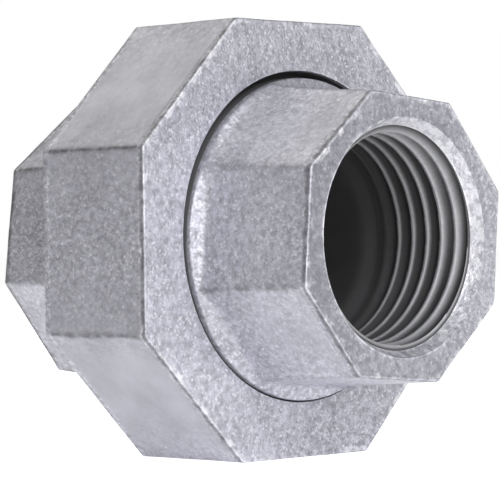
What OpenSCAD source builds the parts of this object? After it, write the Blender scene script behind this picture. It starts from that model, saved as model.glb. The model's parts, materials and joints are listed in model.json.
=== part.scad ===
// Half-inch galvanised pipe union with a flat seat: two octagonal pipe ends, the octagonal
// nut that draws them together and the gasket between their faces.
// The run of the pipe is the X axis, with the swivelling tail piece towards +X.
// The origin is on that axis, half way between the two mouths.

/* [Union nut] */
// Width of the nut across its flats
nut_af = 42; // [38:0.5:50]
// Height of the nut along the pipe
nut_height = 14; // [13:0.5:18]
// Thickness of the nut's wall at the middle of a flat
nut_wall = 2.76; // [1.5:0.01:4]
// Thickness of the lip that holds the tail piece
lip_thick = 2.6; // [2:0.1:3.5]

/* [Tail piece] */
// Width of the tail piece across its flats at the mouth
tail_af = 26.5; // [25.5:0.1:27.5]
// Length of the tail piece outside the nut
tail_out = 13.2; // [11:0.1:16]
// Turn of the tail piece's flats against the nut's, in degrees
tail_turn = -4.9; // [-22.5:0.1:22.5]
// Thickness of the collar behind the nut's lip
collar_thick = 3.4; // [2:0.1:4]
// How far the collar reaches past the lip's hole on each side
collar_overlap = 1.2; // [0.8:0.1:1.6]

/* [Head piece] */
// Width of the head piece across its flats at the mouth
head_af = 27.5; // [25.5:0.1:28.5]
// Length of the head piece outside the nut
head_out = 13.8; // [12:0.1:17]
// Turn of the head piece's flats against the nut's, in degrees
head_turn = -7.1; // [-22.5:0.1:22.5]
// Length of the screwed spigot
spigot_length = 7.4; // [6:0.1:9]
// Width of the spigot's rim around the gasket's recess
spigot_rim = 1.98; // [1.2:0.01:3]
// Length of the flare between the spigot and the flats
flare_length = 2.6; // [1.5:0.1:4]

/* [Pipe sockets] */
// Diameter at the middle of the pipe thread's flanks
socket_d = 19.79; // [19.2:0.01:20.4]
// Depth of the socket, chamfer included
socket_depth = 12.6; // [10:0.1:13.5]
// Chamfer at the mouth
mouth_chamfer = 1.3; // [0.9:0.05:1.6]
// Diameter of the waterway between the sockets
waterway_d = 18.4; // [16:0.1:18.8]
// Length of the cone from the socket down to the waterway
socket_cone = 1.3; // [0.6:0.1:2]

/* [Gasket] */
// Thickness of the gasket
gasket_thick = 2; // [1:0.1:3]
// How far the gasket's hole stays back from the waterway on each side
gasket_setback = 0.3; // [0.1:0.1:1]
// Depth of the recess that centres the gasket on the head piece
recess_depth = 0.6; // [0.2:0.1:0.9]

/* [Casting and fits] */
// Draft on the flats of the two ends, in degrees
draft = 3.2; // [0.5:0.1:4]
// Bevel on the cast outer edges
edge_bevel = 0.4; // [0.2:0.05:0.6]
// How far the tail piece's round neck stands out of the nut
neck_proud = 0.3; // [0.1:0.1:0.8]
// Height of the slope between the tail piece's neck and its flats
neck_slope = 0.7; // [0.3:0.1:1.2]
// Clearance on each side between the neck and the lip's hole
neck_gap = 0.45; // [0.2:0.05:0.6]
// Clearance along the pipe between the collar and the lip
collar_gap = 0.1; // [0.05:0.01:0.2]
// Clearance on each side between the collar and the nut's bore
collar_side_gap = 1.04; // [0.8:0.01:1.2]
// Clearance on each side between the nut's bore and the spigot
thread_gap = 0.06; // [0.02:0.01:0.1]
// Clearance on each side between the gasket and its recess
recess_gap = 0.2; // [0.1:0.05:0.4]
// Depth of the undercut at the end of the nut's thread
undercut_depth = 0.76; // [0.4:0.01:1]
// Width of the undercut at the end of the nut's thread
undercut_width = 2.4; // [1:0.1:3]
// Chamfer where the nut and the spigot start to screw together
lead_chamfer = 0.7; // [0.4:0.1:1]
// Bevel on the edges of the collar
collar_bevel = 0.4; // [0.2:0.05:0.6]

/* [Hidden] */
$fn = 96;
sides = 8;
zinc = "#b4b5ba";
rubber = "#2b2c2e";
// Reach of a cut past the face that it starts from
past = 1;

// Stations along the pipe, from the tail piece's mouth to the head piece's mouth
overall = tail_out + nut_height + head_out;
tail_mouth = overall / 2;
nut_front = tail_mouth - tail_out;
neck_front = nut_front + neck_proud;
lip_inside = nut_front - lip_thick;
collar_front = lip_inside - collar_gap;
tail_root = (neck_front + collar_front) / 2;
tail_seat = collar_front - collar_thick;
gasket_back = tail_seat - gasket_thick;
spigot_front = gasket_back + recess_depth;
spigot_back = spigot_front - spigot_length;
flare_back = spigot_back - flare_length;
nut_back = nut_front - nut_height;
head_mouth = -overall / 2;

// Radii from the nut's flats inwards
nut_bore_r = nut_af / 2 - nut_wall;
collar_r = nut_bore_r - collar_side_gap;
lip_r = collar_r - collar_overlap;
neck_r = lip_r - neck_gap;
spigot_r = nut_bore_r - thread_gap;
recess_r = spigot_r - spigot_rim;
gasket_r = recess_r - recess_gap;

// Radii of the way through the pipe
socket_r = socket_d / 2;
mouth_r = socket_r + mouth_chamfer;
waterway_r = waterway_d / 2;
gasket_hole_r = waterway_r + gasket_setback;

// Turns a piece that was drawn along Z so that it lies along the pipe
module along_pipe(turn = 0)
    rotate([turn, 0, 0]) rotate([0, 90, 0]) children();

// Octagonal bar from one station to another, with its flats facing along X and Y
module octagon_bar(from, to, af)
    translate([0, 0, from]) rotate(180 / sides)
        cylinder(h = to - from, r = af / 2 / cos(180 / sides), $fn = sides);

// What lies outside eight leaning planes that pass a radius at a station
module outside_flats(radius, station, lean)
    for (side = [0 : sides - 1])
        rotate(360 / sides * side) translate([radius, 0, station]) rotate([0, lean, 0])
            translate([0, -nut_af / 2, -nut_af / 2]) cube(nut_af);

// Drafted octagonal end with a bevelled rim, standing on Z = 0 with its mouth at Z = length
module octagon_end(af, length) {
    foot_af = af + 2 * length * tan(draft) + past;
    difference() {
        octagon_bar(0, length, foot_af);
        outside_flats(af / 2, length, -draft);
        outside_flats(af / 2 - edge_bevel, length, -45);
    }
}

// Round hollow of one end, with its mouth at Z = 0 and its waterway running down to Z = -reach
module socket_hollow(reach) {
    cone_top = -socket_depth;
    rotate_extrude()
        polygon([
            [0, past],
            [mouth_r, past],
            [mouth_r, 0],
            [socket_r, -mouth_chamfer],
            [socket_r, cone_top],
            [waterway_r, cone_top - socket_cone],
            [waterway_r, -reach - past],
            [0, -reach - past]
        ]);
}

// Octagonal ring: a lip at the front that holds the collar, a screwed bore behind it
module union_nut()
    color(zinc) along_pipe() difference() {
        octagon_bar(nut_back, nut_front, nut_af);
        outside_flats(nut_af / 2 - edge_bevel, nut_front, -45);
        outside_flats(nut_af / 2 - edge_bevel, nut_back, 45);
        rotate_extrude()
            polygon([
                [0, nut_front + past],
                [lip_r, nut_front + past],
                [lip_r, lip_inside],
                [nut_bore_r + undercut_depth, lip_inside],
                [nut_bore_r + undercut_depth, lip_inside - undercut_width],
                [nut_bore_r, lip_inside - undercut_width - undercut_depth],
                [nut_bore_r, nut_back + lead_chamfer],
                [nut_bore_r + lead_chamfer, nut_back],
                [nut_bore_r + lead_chamfer, nut_back - past],
                [0, nut_back - past]
            ]);
    }

// Round neck and collar of the tail piece, from its flat seat to the foot of its flats
module tail_collar()
    rotate_extrude()
        polygon([
            [0, tail_seat],
            [collar_r - collar_bevel, tail_seat],
            [collar_r, tail_seat + collar_bevel],
            [collar_r, collar_front],
            [neck_r, collar_front],
            [neck_r, neck_front],
            [tail_af / 2, neck_front + neck_slope],
            [0, neck_front + neck_slope]
        ]);

// Flats of the tail piece, with corners no wider than the neck, so that the nut slips over them
module tail_flats()
    translate([0, 0, tail_root]) intersection() {
        octagon_end(tail_af, tail_mouth - tail_root);
        cylinder(h = tail_mouth - tail_root, r = neck_r);
    }

// Swivelling end: octagonal pipe socket, round neck and the collar that the nut pulls on
module tail_piece()
    color(zinc) along_pipe(tail_turn) difference() {
        union() {
            tail_collar();
            tail_flats();
        }
        translate([0, 0, tail_mouth]) socket_hollow(tail_mouth - tail_seat);
    }

// Screwed spigot of the head piece, its gasket recess and the flare down to the flats
module head_spigot()
    rotate_extrude()
        polygon([
            [0, gasket_back],
            [recess_r, gasket_back],
            [recess_r, spigot_front],
            [spigot_r - lead_chamfer, spigot_front],
            [spigot_r, spigot_front - lead_chamfer],
            [spigot_r, spigot_back],
            [head_af / 2, flare_back],
            [0, flare_back]
        ]);

// Fixed end: octagonal pipe socket and the screwed spigot that the nut runs on
module head_piece()
    color(zinc) along_pipe(head_turn) difference() {
        union() {
            head_spigot();
            translate([0, 0, spigot_back]) mirror([0, 0, 1])
                octagon_end(head_af, spigot_back - head_mouth);
        }
        translate([0, 0, head_mouth]) mirror([0, 0, 1]) socket_hollow(gasket_back - head_mouth);
    }

// Flat sealing ring squeezed between the two seats
module gasket()
    color(rubber) along_pipe() difference() {
        translate([0, 0, gasket_back]) cylinder(h = gasket_thick, r = gasket_r);
        translate([0, 0, gasket_back - past])
            cylinder(h = gasket_thick + 2 * past, r = gasket_hole_r);
    }

union_nut();
tail_piece();
head_piece();
gasket();
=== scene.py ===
import json
import math

import bpy
import numpy as np
from mathutils import Matrix, Vector, noise


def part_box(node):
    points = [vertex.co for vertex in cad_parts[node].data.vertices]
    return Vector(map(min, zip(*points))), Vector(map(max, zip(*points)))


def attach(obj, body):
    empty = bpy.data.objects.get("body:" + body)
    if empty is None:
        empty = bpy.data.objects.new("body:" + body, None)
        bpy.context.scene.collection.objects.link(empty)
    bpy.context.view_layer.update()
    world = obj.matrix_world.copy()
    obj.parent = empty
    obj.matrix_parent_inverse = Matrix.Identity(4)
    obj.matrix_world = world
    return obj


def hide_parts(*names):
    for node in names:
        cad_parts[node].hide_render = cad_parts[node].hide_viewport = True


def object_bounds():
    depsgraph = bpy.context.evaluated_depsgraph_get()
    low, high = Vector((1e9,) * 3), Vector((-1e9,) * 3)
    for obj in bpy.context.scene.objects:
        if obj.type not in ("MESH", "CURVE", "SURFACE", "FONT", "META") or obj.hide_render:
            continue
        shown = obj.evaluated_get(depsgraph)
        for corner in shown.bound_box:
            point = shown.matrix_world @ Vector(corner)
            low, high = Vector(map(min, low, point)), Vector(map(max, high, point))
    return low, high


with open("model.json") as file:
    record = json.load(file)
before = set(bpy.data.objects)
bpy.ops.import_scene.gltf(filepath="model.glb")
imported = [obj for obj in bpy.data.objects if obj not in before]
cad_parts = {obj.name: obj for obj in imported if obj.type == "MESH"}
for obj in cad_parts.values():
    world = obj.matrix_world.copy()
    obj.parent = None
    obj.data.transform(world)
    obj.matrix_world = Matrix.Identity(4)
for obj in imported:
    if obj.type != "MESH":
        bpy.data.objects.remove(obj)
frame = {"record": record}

bl_info = {
    "name": "Pipe Union",
    "version": (1, 0, 0),
    "blender": (4, 5, 0),
    "location": "3D View > Sidebar > Pipe Union",
    "description": "Galvanised pipe union with cast octagons, cut threads and a gasket",
    "category": "Add Mesh",
}

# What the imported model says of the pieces, in metres, with the pipe along X
CAD_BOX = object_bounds()
NUT_LOW, NUT_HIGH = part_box("union_nut")
TAIL_LOW, TAIL_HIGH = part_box("tail_piece")
HEAD_LOW, HEAD_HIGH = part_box("head_piece")
GASKET_LOW, GASKET_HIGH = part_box("gasket")
MOUNTS = {mount["name"]: mount for mount in frame["record"]["mounts"]}
SOCKET_RADIUS = MOUNTS["tail_socket"]["dims"]["r_mm"] / 1000
SOCKET_WALL = MOUNTS["tail_socket"]["dims"]["length_mm"] / 1000
UNION_PITCH = frame["record"]["behaviour"]["couplings"][0]["ratio"] * 2 * math.pi

SIDES = 8
HALF_SIDE = math.pi / SIDES
IMAGE_WIDTH = 500
MILLIMETRE = 0.001
# A tenth of a millimetre, in which small offsets at the edges are counted
TENTH = 0.0001

# Depth of a 55 degree pipe thread as a share of its pitch, the share that its crests and its roots take,
# and how far its flanks are rounded, from 0 to 1
THREAD_DEPTH = 0.640327
THREAD_FLAT = 0.1
FLANK_ROUND = 0.45
UNION_DEPTH = THREAD_DEPTH * UNION_PITCH


class UnionSizes(bpy.types.PropertyGroup):
    """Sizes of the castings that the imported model's boxes don't give."""

    lip_radius: bpy.props.FloatProperty(
        name="Lip hole", description="Radius of the hole in the nut's lip",
        default=0.0159, precision=5, unit="LENGTH")
    lip_offset: bpy.props.FloatProperty(
        name="Lip offset", description="How far the rough hole in the lip lies above the middle",
        default=0.00026, precision=5, unit="LENGTH")
    lip_thick: bpy.props.FloatProperty(
        name="Lip", description="Thickness of the nut's lip",
        default=0.0026, precision=5, unit="LENGTH")
    undercut: bpy.props.FloatProperty(
        name="Undercut", description="Width of the undercut behind the nut's lip",
        default=0.0024, precision=5, unit="LENGTH")
    tail_flats: bpy.props.FloatProperty(
        name="Tail flats", description="Width of the tail piece across its flats at the mouth",
        default=0.0265, precision=5, unit="LENGTH")
    tail_turn: bpy.props.FloatProperty(
        name="Tail turn", description="Turn of the tail piece's flats against the nut's",
        default=math.radians(-4.9), subtype="ANGLE")
    neck_radius: bpy.props.FloatProperty(
        name="Neck", description="Radius of the tail piece's neck in the lip's hole",
        default=0.01555, precision=5, unit="LENGTH")
    neck_proud: bpy.props.FloatProperty(
        name="Neck proud", description="How far the neck stands out of the nut",
        default=0.0003, precision=5, unit="LENGTH")
    neck_slope: bpy.props.FloatProperty(
        name="Neck slope", description="Height of the slope from the neck to the flats",
        default=0.0007, precision=5, unit="LENGTH")
    collar_thick: bpy.props.FloatProperty(
        name="Collar", description="Thickness of the collar behind the lip",
        default=0.0034, precision=5, unit="LENGTH")
    head_flats: bpy.props.FloatProperty(
        name="Head flats", description="Width of the head piece across its flats at the mouth",
        default=0.0275, precision=5, unit="LENGTH")
    head_turn: bpy.props.FloatProperty(
        name="Head turn", description="Turn of the head piece's flats against the nut's",
        default=math.radians(-7.1), subtype="ANGLE")
    spigot_length: bpy.props.FloatProperty(
        name="Spigot", description="Length of the screwed spigot",
        default=0.0074, precision=5, unit="LENGTH")
    flare_length: bpy.props.FloatProperty(
        name="Flare", description="Length of the flare between the spigot and the flats",
        default=0.0026, precision=5, unit="LENGTH")
    recess_rim: bpy.props.FloatProperty(
        name="Recess rim", description="Width of the rim around the gasket's recess",
        default=0.00198, precision=5, unit="LENGTH")
    recess_depth: bpy.props.FloatProperty(
        name="Recess", description="Depth of the gasket's recess",
        default=0.0006, precision=5, unit="LENGTH")
    draft: bpy.props.FloatProperty(
        name="Draft", description="Draft on the flats of both ends",
        default=math.radians(3.2), subtype="ANGLE")
    waterway_radius: bpy.props.FloatProperty(
        name="Waterway", description="Radius of the waterway between the sockets",
        default=0.0092, precision=5, unit="LENGTH")
    mouth_chamfer: bpy.props.FloatProperty(
        name="Mouth chamfer", description="Chamfer at the mouth, from the middle of the thread's flanks",
        default=0.0013, precision=5, unit="LENGTH")
    coated_chamfer: bpy.props.FloatProperty(
        name="Coated chamfer", description="Depth to which zinc covers the mouth's chamfer",
        default=0.00115, precision=5, unit="LENGTH")
    chamfer_slope: bpy.props.FloatProperty(
        name="Chamfer slope", description="Fall of the coated chamfer's radius for each unit of depth",
        default=0.6)
    socket_cone: bpy.props.FloatProperty(
        name="Socket cone", description="Length of the cone from the socket down to the waterway",
        default=0.0013, precision=5, unit="LENGTH")
    pipe_pitch: bpy.props.FloatProperty(
        name="Pipe pitch", description="Pitch of the half-inch pipe thread",
        default=0.001814, precision=6, unit="LENGTH")
    thread_start: bpy.props.FloatProperty(
        name="Thread start", description="Where the pipe thread starts, in turns round the pipe",
        default=0.8816)
    run_out: bpy.props.FloatProperty(
        name="Run-out", description="Length over which the pipe thread runs out in its socket",
        default=0.0026, precision=5, unit="LENGTH")
    thread_play: bpy.props.FloatProperty(
        name="Thread play", description="Radial play between the nut's thread and the spigot's",
        default=0.00012, precision=5, unit="LENGTH")
    gasket_setback: bpy.props.FloatProperty(
        name="Gasket setback", description="How far the gasket stays back from the waterway",
        default=0.0003, precision=5, unit="LENGTH")
    # Amount of painted shade on the mouths' faces, darkest on their -Y side
    mouth_face_shade: bpy.props.FloatProperty(
        name="Dull mouths", description="How far the zinc on the mouths' faces is dulled",
        default=0.4, min=0, max=1)
    corner_round: bpy.props.FloatProperty(
        name="Corner rounding", description="Rounding of the cast corners along the pipe",
        default=0.0006, precision=5, unit="LENGTH")
    edge_round: bpy.props.FloatProperty(
        name="Edge rounding", description="Rounding of the cast edges around the end faces",
        default=0.00018, precision=5, unit="LENGTH")
    edge_bead: bpy.props.FloatProperty(
        name="Edge bead", description="Height of the bead of zinc along the cast edges",
        default=0.00006, precision=6, unit="LENGTH")
    cast_wave: bpy.props.FloatProperty(
        name="Cast waviness", description="Height of the waves in the cast skin",
        default=0.00005, precision=6, unit="LENGTH")


class UnionFinish(bpy.types.PropertyGroup):
    """Colours and grain of the galvanised iron, the cut metal and the rubber."""

    zinc_dark: bpy.props.FloatVectorProperty(
        name="Dull zinc", description="Duller patches of the zinc coat",
        default=(0.33, 0.33, 0.372), size=3, min=0, max=1, subtype="COLOR")
    zinc_light: bpy.props.FloatVectorProperty(
        name="Bright zinc", description="Brighter patches of the zinc coat",
        default=(0.71, 0.71, 0.797), size=3, min=0, max=1, subtype="COLOR")
    # Also the colour of the painted highlight on the mouths' chamfers
    zinc_fleck: bpy.props.FloatVectorProperty(
        name="Zinc fleck", description="Bright flecks and rubbed edges of the zinc coat",
        default=(0.95, 0.95, 1.0), size=3, min=0, max=1, subtype="COLOR")
    # Colour of the painted shade in the lines along the edges and corners, in gaps and on the mouths'
    # shaded side
    shade_line: bpy.props.FloatVectorProperty(
        name="Zinc line", description="Thin dark lines along the edges and corners",
        default=(0.10, 0.10, 0.11), size=3, min=0, max=1, subtype="COLOR")
    # Colour of the painted shade in the cut threads' roots and grooves, in the gaps and down the bore,
    # where the iron is also oiled
    cut_dark: bpy.props.FloatVectorProperty(
        name="Cut iron shade", description="Oily roots of the cut threads",
        default=(0.095, 0.095, 0.099), size=3, min=0, max=1, subtype="COLOR")
    cut_light: bpy.props.FloatVectorProperty(
        name="Cut iron", description="Crests of the cut threads and turned faces",
        default=(0.82, 0.82, 0.86), size=3, min=0, max=1, subtype="COLOR")
    rubber: bpy.props.FloatVectorProperty(
        name="Rubber", description="Sheet rubber of the gasket",
        default=(0.020, 0.020, 0.022), size=3, min=0, max=1, subtype="COLOR")
    rubber_dust: bpy.props.FloatVectorProperty(
        name="Rubber dust", description="Chalky bloom on the rubber",
        default=(0.075, 0.075, 0.078), size=3, min=0, max=1, subtype="COLOR")
    grain: bpy.props.FloatProperty(
        name="Grain", description="Size of the grain in the zinc coat",
        default=0.00022, precision=6, unit="LENGTH")
    patch: bpy.props.FloatProperty(
        name="Patch", description="Size of the dull and bright patches",
        default=0.004, precision=5, unit="LENGTH")


class UnionStage(bpy.types.PropertyGroup):
    """Camera, light and floor."""

    azimuth: bpy.props.FloatProperty(
        name="Azimuth", description="Turn of the camera round the union",
        default=math.radians(44.82), subtype="ANGLE")
    roll: bpy.props.FloatProperty(
        name="Roll", description="Roll of the camera about its line of sight",
        default=math.radians(-0.87), subtype="ANGLE")
    distance: bpy.props.FloatProperty(
        name="Distance", description="From the camera to the middle of the union",
        default=0.26825, precision=5, unit="LENGTH")
    focal_pixels: bpy.props.FloatProperty(
        name="Focal length", description="Focal length in widths of a picture element",
        default=2731.0)
    floor: bpy.props.FloatVectorProperty(
        name="Floor", description="Colour of the floor",
        default=(0.9, 0.9, 0.9), size=3, min=0, max=1, subtype="COLOR")
    floor_glow: bpy.props.FloatProperty(
        name="Floor glow", description="Light that the white floor gives off by itself",
        default=0.49, min=0)
    tent: bpy.props.FloatProperty(
        name="Tent", description="Even light from the white walls all round",
        default=0.02, min=0)
    top_colour: bpy.props.FloatVectorProperty(
        name="Top colour", description="Colour of the soft panel overhead",
        default=(1.0, 0.985, 0.91), size=3, min=0, max=1, subtype="COLOR")
    top_power: bpy.props.FloatProperty(
        name="Top panel", description="Power of the soft panel overhead",
        default=1.46, min=0, unit="POWER")
    right_power: bpy.props.FloatProperty(
        name="Right panel", description="Power of the soft panel on the camera's right",
        default=0.6, min=0, unit="POWER")
    front_power: bpy.props.FloatProperty(
        name="Front panel", description="Power of the soft panel above the camera",
        default=2.5, min=0, unit="POWER")
    back_power: bpy.props.FloatProperty(
        name="Back panel", description="Power of the soft panel behind the union",
        default=1.5, min=0, unit="POWER")


# Shape of the castings: rows of radii round the pipe, one row for each station along a closed section

# Rows lie about a step apart: on plain walls, on drafted flats and in fillets
WALL_STEP = 0.0008
FLATS_STEP = 0.0007
FILLET_STEP = 0.00007
# Number of rows on a short wall that hardly shows
HIDDEN_ROWS = 6
# Number of rows in each pitch of the pipe thread and of the union thread
PIPE_THREAD_ROWS = 24
UNION_THREAD_ROWS = 16
# Angles off a corner at which its rounding is sampled, in degrees, and number of steps along a flat
OFF_CORNER = (0.0, 0.14, 0.28, 0.42, 0.6, 0.9, 1.4, 2.0)
FLAT_STEPS = 24


def sample_angles():
    """Angles round the pipe, close together at the eight corners and even along the flats."""
    near = np.radians(OFF_CORNER)
    corner = HALF_SIDE + np.concatenate([-near[::-1], near[1:]])
    flat = np.linspace(near[-1] - HALF_SIDE, HALF_SIDE - near[-1], FLAT_STEPS + 1)
    one_side = np.concatenate([flat, corner[1:-1]])
    return np.concatenate([one_side + 2 * HALF_SIDE * side for side in range(SIDES)])


ANGLES = sample_angles()
# How far each angle points towards +Y and up
ACROSS = np.cos(ANGLES)
UP = np.sin(ANGLES)
# Mark of the four slanting flats of an octagon, which show little grain
ASLANT = (np.sin(2 * ANGLES) ** 2)[None, :]
# Mark of painted shade on the nut's side away from the light, darkest at the flat that faces -Y and then
# below it
SHADED_SIDE = 1.3 * np.clip(-0.85 * ACROSS - 0.14 * UP - 0.5, 0, 1)[None, :]
# How much painted shade a mouth's face takes at each angle, most on the -Y side and least towards +Y, as a
# share of the value that is set
MOUTH_SHADE = np.interp(ACROSS, (-1.0, -0.5, 0.4, 1.0), (2.5, 1.5, 1.35, 0.2))[None, :]


def octagon(half_width, rounding):
    """Radius of a round-cornered octagon at each sampled angle, from half its width across flats."""
    off_flat = np.abs((ANGLES + HALF_SIDE) % (2 * HALF_SIDE) - HALF_SIDE)
    off_corner = HALF_SIDE - off_flat
    middle = (half_width - rounding) / math.cos(HALF_SIDE)
    inside = np.maximum(rounding ** 2 - (middle * np.sin(off_corner)) ** 2, 0)
    arc = middle * np.cos(off_corner) + np.sqrt(inside)
    tangent = np.arctan((half_width - rounding) * math.tan(HALF_SIDE) / half_width)
    return np.where(off_flat > tangent, arc, half_width / np.cos(off_flat))


def soft_max(a, b, blend):
    """The larger of two radii, with a fillet where they cross."""
    return (a + b + np.sqrt((a - b) ** 2 + blend ** 2)) / 2


def soft_min(a, b, blend):
    """The smaller of two radii, with a rounded edge where they cross."""
    return (a + b - np.sqrt((a - b) ** 2 + blend ** 2)) / 2


def thread_phase(stations, pitch, start=0.0):
    """How far past a right-hand thread's crest each station and angle lies, from -0.5 to 0.5 of a pitch.

    Start is the share of a turn by which the thread is turned round the pipe.
    """
    turns = stations[:, None] / pitch - ANGLES[None, :] / (2 * math.pi) - start
    return (turns + 0.5) % 1.0 - 0.5


def smooth_step(share):
    """Share from 0 to 1 with a level start and end."""
    return share * share * (3 - 2 * share)


def thread_rise(phase):
    """Rise of a thread from its root, 0, to its crest, 1, at each phase."""
    flank = np.clip((1 - THREAD_FLAT - 2 * np.abs(phase)) / (1 - 2 * THREAD_FLAT), 0, 1)
    return (1 - FLANK_ROUND) * flank + FLANK_ROUND * smooth_step(flank)


def fade(stations, start, end):
    """1 at the start station, falling smoothly to 0 at the end station."""
    share = np.clip((stations - start) / (end - start), 0, 1)
    return (1 - smooth_step(share))[:, None]


def along(start, end, step):
    """Stations from start to end, about a step apart."""
    count = max(1, round(abs(end - start) / step))
    return np.linspace(start, end, count + 1)


class Section:
    """Rows of a closed section, gathered in order from one face all the way round to it again.

    Beside its place along the pipe and its radius, each point has marks from 0 to 1: cut where a tool
    bared the iron, edge on worn edges and for the painted highlight on the mouths' chamfers, line for
    painted shade in dark lines along edges and corners, in gaps and on the mouths' shaded side,
    oil for painted shade in roots, grooves, gaps and bores, where the iron is also oiled, sleek
    where the zinc has little grain, side_shade for painted shade on the side away from the light.
    """

    NAMES = ("station", "radius", "cut", "edge", "line", "oil", "sleek", "side_shade")

    def __init__(self):
        self.parts = {name: [] for name in self.NAMES}

    def rows(self, station, radius, cut=0.0, edge=0.0, line=0.0, oil=0.0, sleek=0.0, side_shade=0.0):
        """Adds rows; each value is single, one for each row, or one for each row and angle."""
        values = (station, radius, cut, edge, line, oil, sleek, side_shade)
        given = [np.asarray(value, float) for value in values]
        count = max(value.shape[0] for value in given if value.ndim)
        for name, value in zip(self.NAMES, given):
            column = value[:, None] if value.ndim == 1 else value
            self.parts[name].append(np.broadcast_to(column, (count, len(ANGLES))))

    def face(self, station, start, end, steps, **marks):
        """Flat end face from one radius to another, each single or one for each angle."""
        share = np.linspace(0, 1, steps + 1)[:, None]
        start, end = (np.broadcast_to(radius, ANGLES.shape)[None, :] for radius in (start, end))
        self.rows(station, start + (end - start) * share, **marks)

    def quarter_round(self, start, end, face_first, count=5):
        """Rounded edge from one (station, radius) point to another, off a face or off a wall."""
        t = np.linspace(0, math.pi / 2, count)
        ahead, across = np.sin(t), 1 - np.cos(t)
        x, r = (across, ahead) if face_first else (ahead, across)
        self.rows(start[0] + (end[0] - start[0]) * x, start[1] + (end[1] - start[1]) * r)

    def turned_back(self):
        """The same section with its rows in the opposite order."""
        back = Section()
        back.parts = {name: [self.grid(name)[::-1]] for name in self.NAMES}
        return back

    def add(self, other):
        """Adds another section's rows."""
        for name in self.NAMES:
            self.parts[name] += other.parts[name]

    def grid(self, name):
        """All the rows of one value."""
        return np.concatenate(self.parts[name])


# How quickly a ragged size changes round the pipe
RAGGED_RATE = 9


def ragged(size, spread, seed):
    """A size that differs a little from angle to angle round the pipe."""
    return size * np.array([
        1 + spread * noise.noise(Vector((RAGGED_RATE * across, RAGGED_RATE * up, seed)))
        for across, up in zip(ACROSS, UP)])


# Line of painted shade along a cast corner: its width and how far that varies, how far it strays from the
# corner, the length of its waves, and its depth, how far that varies and the least that it is
LINE_WIDTH = 0.27 * MILLIMETRE
LINE_WIDTH_SPREAD = 0.16 * MILLIMETRE
LINE_STRAY = 0.1 * MILLIMETRE
LINE_WAVE = 2 * MILLIMETRE
LINE_DEPTH = 0.65
LINE_DEPTH_SPREAD = 1.6
LINE_FAINTEST = 0.1
# Distance in the noise between one corner's line and the next
LINE_SPACING = 7.3


def corner_shade_line(stations, radii, seed):
    """Mark of the wavering line of painted shade along each of the eight corners, deep on some and faint on
    others.
    """
    past_corner = ANGLES % (2 * HALF_SIDE) - HALF_SIDE
    corner = np.floor(ANGLES / (2 * HALF_SIDE))
    depth = np.clip(ragged(LINE_DEPTH, LINE_DEPTH_SPREAD, seed), LINE_FAINTEST, 1)
    lines = []
    for station, radius in zip(stations, np.broadcast_to(radii, (len(stations), len(ANGLES)))):
        waver = np.array([
            noise.noise(Vector((station / LINE_WAVE, LINE_SPACING * side, seed))) for side in corner])
        width = LINE_WIDTH + LINE_WIDTH_SPREAD * waver
        lines.append(depth * np.exp(-((past_corner * radius - LINE_STRAY * waver) / width) ** 2))
    return np.stack(lines)


# Rows of a cast edge: on the end face, by their distance in from the rounding; round the edge, by their
# angle; and on the flats, by their distance past it
RIM_ON_FACE = np.array([[0.55], [0.32], [0.16]]) * MILLIMETRE
RIM_ROUND = np.linspace(0, math.pi / 2, 7)[:, None]
RIM_ON_FLATS = np.array([[0.18], [0.5]]) * MILLIMETRE
# Share of the bead's height on the rows of the end face
BEAD_ON_FACE = np.array([[0.0], [0.0], [0.5]])
# Marks on all those rows: rubbed over the bead, and a line of painted shade past it
RIM_RUB = np.concatenate([[[0.0], [0.65], [0.85]], 0.9 * np.cos(RIM_ROUND), [[0.0], [0.0]]])
RIM_LINE = np.concatenate([[[0.0], [0.0], [0.1]], np.sin(RIM_ROUND) ** 2, [[0.9], [0.0]]])
# Length of the flats that is left to a cast edge
RIM_REACH = 0.001
# Share of a mouth's painted shade that goes to its line mark and to its side_shade mark
SHADE_AS_LINE = 0.5
SHADE_AS_SIDE = 0.7


def mouth_shade_marks(amount):
    """Marks of painted shade on a mouth's face, darkest on its -Y side, by an amount."""
    tone = amount * MOUTH_SHADE
    return {"line": tone * SHADE_AS_LINE, "side_shade": tone * SHADE_AS_SIDE}


def cast_rim(station, inward, half_width, sizes, seed, side_shade=0.0, shade=1.0, worn=0.45):
    """Section of a cast edge from the end face to the flats: a ragged bead of zinc, then a rounding.

    Inward is the way from the face into the casting, -1 or 1 along the pipe. Side_shade is the amount of
    painted shade on the end face, shade the depth of the line of painted shade along the edge, and worn how
    much of the edge is worn bright.
    """
    bead = sizes.edge_bead * np.clip(ragged(0.5, spread=1.8, seed=seed), 0, 1)
    rounding = ragged(sizes.edge_round, spread=0.35, seed=seed + 5)
    past = RIM_ON_FLATS * np.clip(ragged(1.0, spread=0.9, seed=seed + 13), 0.4, 1.3)
    broken = np.clip(worn - 1 + ragged(1.0, spread=1.3, seed=seed + 9), 0, 1)
    inset = np.concatenate([
        RIM_ON_FACE + rounding, rounding * (1 - np.sin(RIM_ROUND)), np.zeros_like(past)])
    drop = sizes.edge_bead + np.concatenate([
        -BEAD_ON_FACE * bead,
        rounding * (1 - np.cos(RIM_ROUND)) - bead * np.cos(RIM_ROUND),
        rounding + past])
    radii = np.stack([octagon(half_width - row, sizes.corner_round) for row in inset])
    # Painted shade: the line past the edge, and the mouth's painted shade on the end face
    face, on_face = mouth_shade_marks(side_shade), slice(len(RIM_ON_FACE))
    dark = np.repeat(RIM_LINE * shade, len(ANGLES), 1)
    dark[on_face] = np.maximum(dark[on_face], face["line"])
    grey = np.zeros_like(dark)
    grey[on_face] = face["side_shade"]
    rim = Section()
    rim.rows(station + inward * drop, radii, edge=RIM_RUB * broken, line=dark, side_shade=grey)
    return rim


# Angle between two faces from which their edge is shaded as sharp
SHARP_ANGLE = math.radians(38)


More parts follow.
